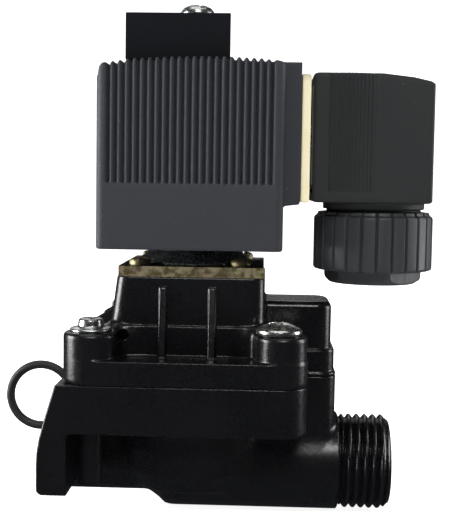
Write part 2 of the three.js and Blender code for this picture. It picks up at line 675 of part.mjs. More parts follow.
addPart("gland_seal", ringZ(glandX, 0, 4.4, 8.2, [59.9, 67.5], 28), "black_rubber");
addPart("gland_washer", ringZ(glandX, 0, 5, 8.2, [58.6, 59.8], 28), "insert_plastic");
addPart("gland_nut", glandNut(), "gland_plastic");

export default group;
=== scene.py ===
import json
import math

import bpy
import numpy as np
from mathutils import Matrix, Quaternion, Vector


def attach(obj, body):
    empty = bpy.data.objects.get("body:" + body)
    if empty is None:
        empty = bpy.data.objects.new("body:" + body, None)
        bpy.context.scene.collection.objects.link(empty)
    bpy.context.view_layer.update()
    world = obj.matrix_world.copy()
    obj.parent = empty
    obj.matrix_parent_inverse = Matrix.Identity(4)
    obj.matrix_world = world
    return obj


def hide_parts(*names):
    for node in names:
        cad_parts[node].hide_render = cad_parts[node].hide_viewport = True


# A solenoid valve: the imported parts, with finely made skins over the moulded and turned ones.
# Lengths are millimetres until a mesh is made. Each skin is written as a distance field, a function
# of x, y and z that is negative inside, and skin() turns it into a mesh. Floor and lights are in metres.

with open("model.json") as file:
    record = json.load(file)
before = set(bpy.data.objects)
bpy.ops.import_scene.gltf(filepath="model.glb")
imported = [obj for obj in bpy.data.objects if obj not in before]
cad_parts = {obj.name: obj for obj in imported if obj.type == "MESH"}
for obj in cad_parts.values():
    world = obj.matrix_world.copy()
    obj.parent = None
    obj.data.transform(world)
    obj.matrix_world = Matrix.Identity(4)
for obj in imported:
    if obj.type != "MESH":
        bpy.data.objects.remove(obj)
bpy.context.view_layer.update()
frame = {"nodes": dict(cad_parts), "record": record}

MM = 0.001
COARSE = 1.0

# heights up the coil's axis
SPLIT_Z = 31.5
SLAB_BOTTOM_Z = 21.3
FLANGE_TOP_Z = 36.6
COLUMN_TOP_Z = 42.1
BONNET_TOP_Z = 53.4
PLATE_TOP_Z = 55.6
COIL_BOTTOM_Z = 59.2
GROOVE_BOTTOM_Z = 73.0
COIL_TOP_Z = 99.0
CAP_TOP_Z = 108.9
# body and bonnet
SLAB_X = (-25.05, 25.05)
SLAB_HALF_Y = 24.4
CORNER_R = 5.3
COLUMN_X = 19.1
COLUMN_Y = 19.1
FRONT_LEFT_COLUMN = (-20.2, -18.7)
FRONT_RIGHT_SHIFT = 0.6
BACK_COLUMN_R = 3.9
LEG_R = 2.5
LEG_FOOT_Z = 9.5
DUCT_END_X = 31.9
DUCT_HALF_Y = 8.8
DUCT_CORNER_R = 3.6
TOWER_X = (-15.5, 16.0)
TOWER_HALF_Y = 16
TOWER_LEAN = 0.085
FRONT_RIBS_X = (-5.4, 5.0)
SIDE_RIBS_Y = (-6, 6)
PLATE_SCREW_X = 10.9
PLATE_SCREW_Y = 11.3
# ways inside
SEAT_R = 9
SEAT_BORE_R = 6.5
SEAT_Z = 27.5
CHAMBER_R = 14.5
DIAPHRAGM_R = 18.3
DUCT_WAY = (23.5, 1.5)
PILOT_Z = 40.2
PILOT_WAY_R = 1.1
BODY_SCREW_HOLE_R = 2.1
BONNET_SCREW_HOLE_R = 2.7
# outlet pipe and its thread
OUTLET_Z = 10.8
OUTLET_R = 10.8
OUTLET_BORE_R = 7.2
OUTLET_END_X = 44.4
THREAD_START_X = 33.3
THREAD_R = 10.4775
THREAD_PITCH = 1.814
THREAD_DEPTH = 0.9
# inlet
INLET_Z = 9.7
INLET_R = 6.5
INLET_BORE_R = 4.5
INLET_FACE_X = -30.6
FLANGE_FOOT_Z = 7.9
# spare ring
RING_AT = (-40.9, 27.2, 18.3)
RING_MAJOR_R = 7.9
RING_MINOR_R = 1.05
# coil
COIL_HALF_X = 19.5
COIL_HALF_Y = 19.0
GROOVE_COUNT = 23
GROOVE_PITCH = 1.533
GROOVE_FIRST_X = -16.9
GROOVE_DEPTH = 0.95
PAD_X = 23.0
PAD_HALF_Y = 14.6
PLUG_AXIS_Z = 83.0
PLUG_X = (25.1, 51.3)
PLUG_HALF_Y = 14
# the flat contact pins: y, z and whether the pin lies level
CONTACTS = ((-9, 83, False), (9, 83, False), (0, 74, True))
# gland
GLAND_X = 39.9
NUT_R = 13.15
NUT_RIBS = 25


# ---- distance fields ----------------------------------------------------------------------
# A field that ribs or a thread make steeper than a distance is scaled down, so that it stays one.
PAST_AXIS = -6.0


def fuse(a, b, fillet=0.0):
    """a and b as one solid, with a fillet where they meet"""
    if not fillet:
        return np.minimum(a, b)
    h = np.clip(0.5 + 0.5 * (b - a) / fillet, 0, 1)
    return b + (a - b) * h - fillet * h * (1 - h)


def cut(a, b, fillet=0.0):
    """a with b taken away"""
    return -fuse(-a, b, fillet)


def meet(a, b, edge=0.25):
    """what a and b have in common, with the edge between them rounded"""
    u = a + edge
    v = b + edge
    return np.minimum(np.maximum(u, v), 0) + np.hypot(np.maximum(u, 0), np.maximum(v, 0)) - edge


def span(w, low, high):
    return np.abs(w - (low + high) / 2) - (high - low) / 2


def block(x, y, z, x_range, y_range, z_range, edge=0.3):
    return meet(meet(span(x, *x_range), span(y, *y_range), edge), span(z, *z_range), edge)


def upright(x, y, z, x_range, y_range, z_range, corner, edge=0.3):
    """a vertical prism on a rectangle with round corners"""
    return meet(meet(span(x, *x_range), span(y, *y_range), corner), span(z, *z_range), edge)


def rod(u, v, w, radius, w_range, edge=0.2):
    """a cylinder along w"""
    return meet(np.hypot(u, v) - radius, span(w, *w_range), edge)


def outline(u, v, points):
    """distance to a closed polygon"""
    best = np.full(np.shape(u), 1e9)
    inside = np.zeros(np.shape(u), bool)
    previous = points[-1]
    for point in points:
        du, dv = point[0] - previous[0], point[1] - previous[1]
        ru, rv = u - previous[0], v - previous[1]
        t = np.clip((ru * du + rv * dv) / (du * du + dv * dv), 0, 1)
        best = np.minimum(best, (ru - t * du) ** 2 + (rv - t * dv) ** 2)
        if dv:
            crosses = (rv >= 0) != (v - point[1] >= 0)
            inside ^= crosses & (ru < rv * du / dv)
        previous = point
    return np.where(inside, -1.0, 1.0) * np.sqrt(best)


def turned(u, v, w, profile):
    """a profile of (radius, w) points turned about the w axis; radius 0 is the axis"""
    points = [(PAST_AXIS if r == 0 else r, at) for r, at in profile]
    return outline(np.hypot(u, v), w, points)


def fade(w, start, end):
    """0 before start, 1 after end, smooth between"""
    t = np.clip((w - start) / (end - start), 0, 1)
    return t * t * (3 - 2 * t)


def ripple(w, crest, pitch):
    """1 at the crest and at every pitch from it, 0 half way between"""
    return 0.5 + 0.5 * np.cos(2 * math.pi * (w - crest) / pitch)


# ---- from field to mesh -------------------------------------------------------------------
def spaced(start, *parts):
    """grid lines from start, through (end, step) parts"""
    values = [start]
    for end, step in parts:
        count = max(1, round((end - values[-1]) / (step * COARSE)))
        values.extend(np.linspace(values[-1], end, count + 1)[1:])
    return np.array(values)


BLOCK = 8
FAR = 9.0


def sample(field, axes):
    """the field on the grid, worked out only in the blocks that the surface may pass through"""
    middles, halves = [], []
    for line in axes:
        starts = np.arange(0, len(line), BLOCK)
        ends = np.minimum(starts + BLOCK, len(line) - 1)
        middles.append((line[starts] + line[ends]) / 2)
        halves.append((line[ends] - line[starts]) / 2)
    near = np.meshgrid(*middles, indexing="ij")
    reach = np.sqrt(sum(h * h for h in np.meshgrid(*halves, indexing="ij")))
    rough = field(*near)
    # a fillet's field is not quite a distance, hence the margin
    active = np.abs(rough) < reach * 1.15 + 0.4
    values = np.where(rough < 0, -FAR, FAR)
    for axis in range(3):
        values = np.repeat(values, BLOCK, axis)
        active = np.repeat(active, BLOCK, axis)
    shape = tuple(slice(0, len(line)) for line in axes)
    values, active = values[shape], active[shape]
    i, j, k = np.nonzero(active)
    values[i, j, k] = field(axes[0][i], axes[1][j], axes[2][k])
    return values


# a grid cell's corners, and its edges as pairs of corners
CELL = np.array([(i & 1, i >> 1 & 1, i >> 2 & 1) for i in range(8)])
CELL_EDGES = [(a, a | bit) for bit in (1, 2, 4) for a in range(8) if not a & bit]


def surface_net(values, axes):
    """one point in each grid cell that the surface crosses, and a face across each crossed grid edge"""
    inside = values < 0
    counts = sum(
        inside[dx:dx - 1 or None, dy:dy - 1 or None, dz:dz - 1 or None].astype(np.int8)
        for dx, dy, dz in CELL
    )
    cells = np.argwhere((counts > 0) & (counts < 8))
    number = np.full(counts.shape, -1)
    number[tuple(cells.T)] = np.arange(len(cells))
    corners = [values[tuple((cells + offset).T)] for offset in CELL]
    total = np.zeros((len(cells), 3))
    hits = np.zeros(len(cells))
    for a, b in CELL_EDGES:
        crossed = (corners[a] < 0) != (corners[b] < 0)
        t = corners[a][crossed] / (corners[a][crossed] - corners[b][crossed])
        total[crossed] += CELL[a] + t[:, None] * (CELL[b] - CELL[a])
        hits[crossed] += 1
    index = cells + total / hits[:, None]
    points = np.stack(
        [np.interp(index[:, d], np.arange(len(axes[d])), axes[d]) for d in range(3)], axis=1
    )
    quads = []
    for d in range(3):
        e, f = (d + 1) % 3, (d + 2) % 3
        solid = np.moveaxis(inside, (d, e, f), (0, 1, 2))
        numbers = np.moveaxis(number, (d, e, f), (0, 1, 2))
        low, high = solid[:-1, 1:-1, 1:-1], solid[1:, 1:-1, 1:-1]
        i, j, k = np.nonzero(low != high)
        ring = [numbers[i, j, k], numbers[i, j + 1, k], numbers[i, j + 1, k + 1], numbers[i, j, k + 1]]
        faces = np.stack(ring, axis=1)
        outward = low[i, j, k]
        quads.append(np.where(outward[:, None], faces, faces[:, ::-1]))
    return points, np.concatenate(quads)


def slope(field, points, h=0.015):
    """the field's gradient"""
    total = np.zeros_like(points)
    for corner in ((1, -1, -1), (-1, -1, 1), (-1, 1, -1), (1, 1, 1)):
        moved = points + h * np.array(corner)
        total += field(*moved.T)[:, None] * np.array(corner)
    return total / (4 * h)


def settle(field, points, reach):
    """moves the points onto the surface, none by more than reach a step, and gives its normals there"""
    for _ in range(2):
        gradient = slope(field, points)
        length2 = np.maximum((gradient**2).sum(1), 0.1)
        step = -(field(*points.T) / length2)[:, None] * gradient
        size = np.maximum(np.linalg.norm(step, axis=1), 1e-9)
        points = points + step * np.minimum(1, reach / size)[:, None]
    gradient = slope(field, points)
    return points, gradient / np.maximum(np.linalg.norm(gradient, axis=1), 1e-9)[:, None]


def skin(name, field, axes):
    """a mesh object of the field's surface"""
    points, quads = surface_net(sample(field, axes), axes)
    reach = 0.5 * min(np.diff(line).min() for line in axes)
    points, normals = settle(field, points, reach)
    mesh = bpy.data.meshes.new(name)
    mesh.from_pydata((points * MM).tolist(), [], quads.tolist())
    mesh.shade_smooth()
    mesh.normals_split_custom_set_from_vertices(normals.tolist())
    obj = bpy.data.objects.new(name, mesh)
    bpy.context.scene.collection.objects.link(obj)
    return obj


def put(obj, body, slot_name, *nodes):
    """obj rides on a body, takes a material slot's finish and stands for these CAD nodes"""
    obj.data.materials.clear()
    obj.data.materials.append(FINISHES[slot_name])
    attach(obj, body)
    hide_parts(*nodes)


# ---- materials ----------------------------------------------------------------------------
class Finish:
    """a material with one Principled shader, and short ways to add nodes to it"""

    def __init__(self, name, color, roughness, metallic=0.0, **more):
        self.material = bpy.data.materials.new(name)
        self.material.use_nodes = True
        self.tree = self.material.node_tree
        self.shader = self.tree.nodes["Principled BSDF"]
        self.coords = self.add("ShaderNodeTexCoord").outputs["Object"]
        self.shader.inputs["Base Color"].default_value = (*color, 1)
        self.shader.inputs["Roughness"].default_value = roughness
        self.shader.inputs["Metallic"].default_value = metallic
        for key, value in more.items():
            self.shader.inputs[key.replace("_", " ")].default_value = value

    def add(self, kind, **inputs):
        made = self.tree.nodes.new(kind)
        for key, value in inputs.items():
            self.link(value, made.inputs[key.replace("_", " ")])
        return made

    def link(self, value, socket):
        if isinstance(value, bpy.types.NodeSocket):
            self.tree.links.new(value, socket)
        else:
            socket.default_value = value

    def stretched(self, scale):
        return self.add("ShaderNodeMapping", Vector=self.coords, Scale=scale).outputs["Vector"]

    def noise(self, feature_mm, detail=2.0, roughness=0.5, vector=None):
        """noise whose features are about feature_mm across"""
        made = self.add(
            "ShaderNodeTexNoise", Scale=600 / feature_mm, Detail=detail, Roughness=roughness,
            Vector=vector or self.coords,
        )
        return made.outputs["Fac"]

    def specks(self, feature_mm, size):
        """small round spots, one in each cell of feature_mm"""
        cells = self.add("ShaderNodeTexVoronoi", Scale=1000 / feature_mm, Vector=self.coords)
        return self.remap(cells.outputs["Distance"], (size, size * 0.6))

    def remap(self, value, source, target=(0.0, 1.0)):
        made = self.add("ShaderNodeMapRange")
        self.link(value, made.inputs["Value"])
        for key, number in zip(("From Min", "From Max", "To Min", "To Max"), (*source, *target)):
            made.inputs[key].default_value = number
        return made.outputs["Result"]

    def math(self, operation, a, b):
        made = self.tree.nodes.new("ShaderNodeMath")
        made.operation = operation
        self.link(a, made.inputs[0])
        self.link(b, made.inputs[1])
        return made.outputs[0]

    def blend(self, factor, a, b):
        """a colour between a and b"""
        made = self.tree.nodes.new("ShaderNodeMix")
        made.data_type = "RGBA"
        self.link(factor, made.inputs[0])
        for value, socket in ((a, made.inputs[6]), (b, made.inputs[7])):
            self.link(value if isinstance(value, bpy.types.NodeSocket) else (*value, 1), socket)
        return made.outputs[2]

    def color(self, socket):
        self.link(socket, self.shader.inputs["Base Color"])

    def roughness(self, value, low, high, source=(0.3, 0.7)):
        self.link(self.remap(value, source, (low, high)), self.shader.inputs["Roughness"])

    def bump(self, height, depth_mm):
        """adds relief; several calls add up"""
        made = self.add("ShaderNodeBump", Strength=1.0, Distance=depth_mm * MM, Height=height)
        old = self.shader.inputs["Normal"]
        if old.is_linked:
            self.tree.links.new(old.links[0].from_socket, made.inputs["Normal"])
        self.tree.links.new(made.outputs["Normal"], old)


def body_plastic():
    f = Finish("body_plastic", (0.0038, 0.004, 0.005), 0.27, IOR=1.5)
    cloud = f.noise(9.0, 3.0)
    grain = f.noise(0.55, 3.0, 0.6)
    f.color(f.blend(cloud, (0.0026, 0.0028, 0.0038), (0.005, 0.0051, 0.006)))
    f.roughness(f.math("ADD", f.math("MULTIPLY", grain, 0.5), f.math("MULTIPLY", cloud, 0.5)), 0.2, 0.36)
    f.bump(f.noise(4.0, 1.0), 0.03)
    f.bump(grain, 0.028)
    return f.material


def coil_plastic():
    f = Finish("coil_plastic", (0.025, 0.0285, 0.036), 0.62, IOR=1.45)
    grain = f.noise(0.35, 4.0, 0.65)
    cloud = f.noise(14.0, 3.0)
    base = f.blend(cloud, (0.021, 0.0248, 0.0323), (0.0293, 0.0325, 0.0395))
    base = f.blend(f.math("MULTIPLY", f.noise(5.0, 2.0), 0.35), base, (0.031, 0.0285, 0.03))
    base = f.blend(f.math("MULTIPLY", f.specks(2.6, 0.045), 0.5), base, (0.3, 0.3, 0.3))
    f.color(base)
    f.roughness(grain, 0.52, 0.72)
    f.bump(grain, 0.02)
    return f.material


def cap_plastic():
    f = Finish("cap_plastic", (0.004, 0.005, 0.0075), 0.6, IOR=1.22)
    cloud = f.noise(8.0, 3.0)
    f.color(f.blend(cloud, (0.0032, 0.0042, 0.0055), (0.0052, 0.0062, 0.0092)))
    f.roughness(f.noise(0.5, 3.0), 0.5, 0.68)
    f.bump(f.noise(0.4, 3.0), 0.008)
    return f.material


def plug_plastic():
    f = Finish("plug_plastic", (0.019, 0.0198, 0.0205), 0.6, IOR=1.35)
    grain = f.noise(0.3, 4.0, 0.65)
    cloud = f.noise(10.0, 3.0)
    base = f.blend(cloud, (0.017, 0.019, 0.0198), (0.0232, 0.0234, 0.024))
    base = f.blend(f.math("MULTIPLY", f.specks(3.1, 0.04), 0.5), base, (0.25, 0.25, 0.25))
    f.color(base)
    f.roughness(grain, 0.5, 0.7)
    f.bump(grain, 0.018)
    return f.material


def gland_plastic():
    f = Finish("gland_plastic", (0.03, 0.033, 0.037), 0.45, IOR=1.45)
    streaks = f.noise(1.0, 3.0, 0.6, f.stretched((1, 1, 0.12)))
    f.color(f.blend(streaks, (0.024, 0.027, 0.031), (0.038, 0.04, 0.044)))
    f.roughness(streaks, 0.36, 0.55)
    f.bump(f.noise(0.35, 3.0), 0.012)
    return f.material


def gasket_rubber():
    f = Finish("gasket_rubber", (0.84, 0.76, 0.52), 0.55, IOR=1.4)
    cloud = f.noise(3.0, 3.0)
    base = f.blend(cloud, (0.8, 0.7, 0.44), (0.9, 0.84, 0.62))
    base = f.blend(f.math("MULTIPLY", f.specks(1.9, 0.05), 0.6), base, (0.25, 0.1, 0.06))
    f.color(base)
    f.roughness(f.noise(0.6, 2.0), 0.45, 0.65)
    f.bump(f.noise(0.5, 2.0), 0.01)
    return f.material


def zinc_yellow():
    f = Finish("zinc_yellow", (0.3, 0.24, 0.09), 0.38, metallic=1.0)
    patches = f.remap(f.noise(0.8, 4.0, 0.65), (0.35, 0.65))
    tint = f.remap(f.noise(3.5, 2.0), (0.4, 0.62))
    base = f.blend(patches, (0.34, 0.3, 0.1), (0.68, 0.63, 0.4))
    base = f.blend(f.math("MULTIPLY", tint, 0.5), base, (0.5, 0.34, 0.26))
    # painted shade: the plate's upper face lies in the coil's shade, so its colour is made dark there
    height = f.add("ShaderNodeSeparateXYZ", Vector=f.coords).outputs["Z"]
    just_below_top = (PLATE_TOP_Z - 0.06) * MM
    painted_shade_on_top = f.math("GREATER_THAN", height, just_below_top)
    base = f.blend(painted_shade_on_top, base, (0.05, 0.045, 0.03))
    f.color(base)
    f.roughness(patches, 0.42, 0.62)
    f.bump(f.noise(0.4, 3.0), 0.02)
    return f.material


def metal(name, dark, light, roughness, streak=(1, 1, 1), relief=0.008):
    """bare metal with finishing marks drawn out along the axes where streak is small"""
    f = Finish(name, light, roughness[0], metallic=1.0)
    marks = f.noise(0.4, 4.0, 0.7, f.stretched(streak))
    tarnish = f.remap(f.noise(2.5, 4.0, 0.6), (0.4, 0.65))
    f.color(f.blend(tarnish, light, dark))
    f.roughness(marks, *roughness)
    f.bump(marks, relief)
    return f.material


def black_rubber():
    f = Finish("black_rubber", (0.008, 0.008, 0.009), 0.55, IOR=1.5)
    f.color(f.blend(f.noise(2.0, 3.0), (0.006, 0.006, 0.007), (0.014, 0.014, 0.015)))
    f.roughness(f.noise(0.5, 2.0), 0.45, 0.65)
    f.bump(f.noise(0.3, 2.0), 0.01)
    return f.material


def insert_plastic():
    f = Finish("insert_plastic", (0.28, 0.28, 0.26), 0.5)
    f.color(f.blend(f.noise(3.0, 3.0), (0.24, 0.24, 0.22), (0.32, 0.32, 0.3)))
    f.bump(f.noise(0.4, 3.0), 0.01)
    return f.material


FINISHES = {
    "body_plastic": body_plastic(),
    "coil_plastic": coil_plastic(),
    "cap_plastic": cap_plastic(),
    "plug_plastic": plug_plastic(),
    "gland_plastic": gland_plastic(),
    "gasket_rubber": gasket_rubber(),
    "zinc_yellow": zinc_yellow(),
    "black_rubber": black_rubber(),
    "insert_plastic": insert_plastic(),
    "bright_steel": metal("bright_steel", (0.34, 0.34, 0.33), (0.66, 0.67, 0.66), (0.16, 0.36)),
    "tube_steel": metal("tube_steel", (0.3, 0.3, 0.3), (0.5, 0.5, 0.5), (0.2, 0.35), (1, 1, 0.1)),
    "core_steel": metal("core_steel", (0.25, 0.25, 0.25), (0.36, 0.37, 0.38), (0.3, 0.5), (0.1, 0.1, 1)),
    "copper": metal("copper", (0.4, 0.12, 0.05), (0.6, 0.22, 0.09), (0.25, 0.4), (0.1, 0.1, 1)),
    "brass": metal("brass", (0.42, 0.27, 0.09), (0.62, 0.44, 0.16), (0.2, 0.4)),
}


# ---- valve body ---------------------------------------------------------------------------
def columns():
    """the four screw columns' places, front ones first; the front left one stands further out"""
    return [FRONT_LEFT_COLUMN, (COLUMN_X, -COLUMN_Y), (-COLUMN_X, COLUMN_Y), (COLUMN_X, COLUMN_Y)]


def plate_screw_places():
    """the places of the plate's four screws, front ones first"""
    return [(px, py) for py in (-PLATE_SCREW_Y, PLATE_SCREW_Y) for px in (-PLATE_SCREW_X, PLATE_SCREW_X)]


def outlet_thread(x, y, z):
    """a pipe thread with broad round crests, run out at both ends; its helix is left-hand"""
    v, w = y, z - OUTLET_Z
    turn = np.arctan2(w, v) / (2 * math.pi)
    phase = np.mod((x - THREAD_START_X) / THREAD_PITCH + turn, 1.0)
    full = THREAD_R - THREAD_DEPTH + THREAD_DEPTH * ripple(phase, 0.5, 1) ** 0.6
    lead_in = THREAD_R - THREAD_DEPTH + THREAD_DEPTH * fade(x, THREAD_START_X - 0.2, THREAD_START_X + 0.7)
    lead_out = THREAD_R - 1.25 * THREAD_DEPTH * fade(x, OUTLET_END_X - 1.5, OUTLET_END_X - 0.1)
    radius = np.minimum(np.minimum(full, lead_in), lead_out)
    return meet((np.hypot(v, w) - radius) * 0.6, span(x, 20, OUTLET_END_X), 0.15)


def duct_level(x, y, z, reach, half_y, z_range, edge=0.35):
    """one level of the side duct, from inside the chamber's wall out to reach"""
    return upright(x, y, z, (13, reach), (-half_y, half_y), z_range, DUCT_CORNER_R, edge)


def inlet_flange(x, y, z):
    """the sloping wall on the inlet side, with a round rim about the inlet"""
    side = outline(x, z, [
        (-24.4, 34), (-26.05, 34), (-26.8, SPLIT_Z), (-29.1, 23.8), (-30.0, 20.4), (-30.5, 17.3),
        (INLET_FACE_X, 15), (INLET_FACE_X, 9.2), (-30.1, 8.2), (-29.4, FLANGE_FOOT_Z), (-24.4, FLANGE_FOOT_Z),
    ])
    face = outline(y, z, [
        (-SLAB_HALF_Y, 34), (-SLAB_HALF_Y, 9), (-23.6, 8.2), (-22.8, FLANGE_FOOT_Z), (22.8, FLANGE_FOOT_Z),
        (23.6, 8.2), (SLAB_HALF_Y, 9), (SLAB_HALF_Y, 34),
    ])
    rim = rod(y, z - INLET_Z, x, 8, (INLET_FACE_X, -29), 0.3)
    return fuse(meet(side, face, 0.45), rim, 0.3)


def ring_eye(x, y, z):
    """the lug that the spare ring hangs in"""
    plan = outline(x, y, [
        (-20, 20), (-29.9, 20), (-29.9, 24.6), (-35.6, 24.6), (-35.6, 29.8), (-27, 29.8), (-20, 24.2),
    ])
    lug = meet(plan, meet(span(x, -35.6, -12), span(z, 14.6, 20.6), 2), 0.4)
    tunnel = np.hypot(np.hypot(x - RING_AT[0], z - RING_AT[2]) - RING_MAJOR_R, y - RING_AT[1])
    return cut(lug, tunnel - RING_MINOR_R - 0.3, 0.2)


def outlet_pipe(x, y, z):
    return turned(y, z - OUTLET_Z, x, [
        (0, -9.9), (7.4, -9.9), (8.1, -8.8), (9.2, -7.2), (10.45, -5.8), (10.75, -4.6), (OUTLET_R, -3.4),
        (OUTLET_R, 32.7), (OUTLET_R - 0.5, 33), (0, 33),
    ])


def valve_body(x, y, z):
    slab_z = (SLAB_BOTTOM_Z, SPLIT_Z + 1)
    d = upright(x, y, z, SLAB_X, (-SLAB_HALF_Y, SLAB_HALF_Y), slab_z, CORNER_R, 0.5)
    d = fuse(d, block(x, y, z, (SLAB_X[0], 4), (-SLAB_HALF_Y, SLAB_HALF_Y), slab_z, 0.5))
    bowl = [(0, 6), (12.5, 6), (15.4, 10), (16.8, 15.5), (17.2, 23), (0, 23)]
    d = fuse(d, turned(x, y, z, bowl), 3.2)
    # a leg under each column on the inlet side
    for cx, cy in columns():
        if cx < 0:
            d = fuse(d, rod(x - cx, y - cy, z, LEG_R, (LEG_FOOT_Z, SPLIT_Z - 1), 0.4), 0.8)
    d = fuse(d, block(x, y, z, (-24.8, -8), (-INLET_R, INLET_R), (INLET_Z, 22)), 1.5)
    neck = rod(y, z - INLET_Z, x, INLET_R, (INLET_FACE_X + 1, -4), 0.3)
    d = fuse(d, fuse(neck, outlet_pipe(x, y, z), 0.6), 2.2)
    d = fuse(d, duct_level(x, y, z, DUCT_END_X, DUCT_HALF_Y, (OUTLET_Z, SPLIT_Z + 1)), 1.2)
    d = fuse(d, inlet_flange(x, y, z), 1.2)
    d = np.maximum(d, np.abs(y) - SLAB_HALF_Y)
    # the narrow foot under the outlet pipe
    d = fuse(d, block(x, y, z, (-3.2, 32.6), (-1.8, 1.8), (0, OUTLET_Z), 0.2), 0.5)
    d = fuse(d, ring_eye(x, y, z), 0.8)
    d = fuse(d, outlet_thread(x, y, z), 0.3)
    d = meet(d, -z, 0.1)
    d = meet(d, z - SPLIT_Z, 0.22)
    return valve_passages(d, x, y, z)


def valve_passages(d, x, y, z):
    """the ways the fluid takes, and the screw holes"""
    r = np.hypot(x, y)
    # outlet, seat, the ring-shaped chamber about it, the room over them and the diaphragm's ledge
    d = cut(d, meet(np.hypot(y, z - OUTLET_Z) - OUTLET_BORE_R, -x, 0.2), 0.25)
    d = cut(d, meet(r - SEAT_BORE_R, OUTLET_Z - 6 - z, 0.2), 0.2)
    d = cut(d, meet(meet(r - CHAMBER_R, SEAT_R - r, 0.1), 20 - z, 0.3))
    d = cut(d, meet(r - CHAMBER_R, SEAT_Z - z, 0.1))
    d = cut(d, meet(r - DIAPHRAGM_R, 30 - z, 0.1))
    # inlet, the way up from it to the chamber, and the O-ring's groove in the inlet's face
    d = cut(d, meet(np.hypot(y, z - INLET_Z) - INLET_BORE_R, x + 9.6, 0.2), 0.2)
    d = cut(d, block(x, y, z, (-14, -9.6), (-INLET_BORE_R, INLET_BORE_R), (INLET_Z, 21)))
    face_groove = meet(np.abs(np.hypot(y, z - INLET_Z) - 5.9) - 0.6, x - INLET_FACE_X - 1, 0.1)
    d = cut(d, face_groove, 0.1)
    # the way down the side duct, and its O-ring's seat
    way_x, way_r = DUCT_WAY
    d = cut(d, meet(np.hypot(x - way_x, y) - way_r, OUTLET_Z - z, 0.1))
    d = cut(d, meet(np.hypot(x - way_x, y) - 3.2, 30.3 - z, 0.1))
    for cx, cy in columns():
        d = cut(d, meet(np.hypot(x - cx, y - cy) - BODY_SCREW_HOLE_R, 20.5 - z, 0.1))
    return d


def make_valve_body():
    axes = (
        spaced(-37, (THREAD_START_X - 0.8, 0.42), (OUTLET_END_X + 0.3, 0.15)),
        spaced(-25.4, (25, 0.42), (30.6, 0.42)),
        spaced(-1, (33, 0.4)),
    )
    put(skin("body_moulding", valve_body, axes), "valve", "body_plastic", "valve_body")


# ---- bonnet -------------------------------------------------------------------------------
def tower(x, y, z):
    """a square tower on a slightly wider foot; its left side leans outwards on the way down"""
    foot = upright(x, y, z, (-16.4, 16.6), (-16.4, 16.4), (33, 43), 3.4, 0.3)
    lean = np.where(x < 0, 1 + TOWER_LEAN * np.clip((BONNET_TOP_Z - z) / 10, 0, 1), 1)
    y_range = (-TOWER_HALF_Y, TOWER_HALF_Y)
    return fuse(foot, upright(x / lean, y, z, TOWER_X, y_range, (33, BONNET_TOP_Z), 3.0, 0.35), 0.35)


def bonnet(x, y, z):
    d = tower(x, y, z)
    for cx, cy in columns():
        d = fuse(d, column_web(x, y, z, cx, cy), 3.0)
    for cx, cy in columns():
        d = fuse(d, screw_column(x, y, z, cx, cy), 3.2)
    slab = upright(x, y, z, SLAB_X, (-SLAB_HALF_Y, SLAB_HALF_Y), (SPLIT_Z - 1, FLANGE_TOP_Z), CORNER_R, 0.25)
    d = fuse(d, slab, 0.5)
    for rib_x in FRONT_RIBS_X:
        side = outline(y, z, [(-14, 34), (-20, 34), (-19.6, 36), (-16.25, 51.2), (-14, 51.2)])
        d = fuse(d, meet(side, np.abs(x - rib_x) - 0.8, 0.35), 0.35)
    for rib_y in SIDE_RIBS_Y:
        side = outline(x, z, [(-14, 34), (-22, 34), (-21.3, 43.2), (-17.4, 45.6), (-15.5, 47), (-14, 47)])
        d = fuse(d, meet(side, np.abs(y - rib_y) - 0.8, 0.25), 0.35)
    duct = duct_level(x, y, z, DUCT_END_X, DUCT_HALF_Y, (SPLIT_Z - 1, 32.3))
    duct = fuse(duct, duct_level(x, y, z, 31.5, 8.5, (31, 37.3)), 0.3)
    duct = fuse(duct, duct_level(x, y, z, 30.75, 7.8, (33, 47.75), 1.5), 0.3)
    d = fuse(d, duct, 0.9)
    d = np.maximum(d, np.abs(y) - SLAB_HALF_Y)
    d = meet(d, SPLIT_Z - z, 0.22)
    return bonnet_passages(d, x, y, z)


def column_web(x, y, z, cx, cy):
    """the wall between a screw column and the tower"""
    side_x, side_y = math.copysign(1, cx), math.copysign(1, cy)
    x_range = sorted((11 * side_x, cx))
    y_range = sorted((11 * side_y, cy - 2.9 * side_y))
    return block(x, y, z, x_range, y_range, (33, COLUMN_TOP_Z - 0.6), 1.0)


def screw_column(x, y, z, cx, cy):
    """the back columns are slim; the front ones reach the slab's front, the right one is off its screw"""
    z_range = (SPLIT_Z, COLUMN_TOP_Z)
    if cy > 0:
        return rod(x - cx, y - cy, z, BACK_COLUMN_R, z_range, 0.6)
    if cx > 0:
        return rod(x - cx - FRONT_RIGHT_SHIFT, y - cy, z, CORNER_R, z_range, 1.0)
    return rod(x - cx, y - cy, z, SLAB_HALF_Y + cy, z_range, 1.0)


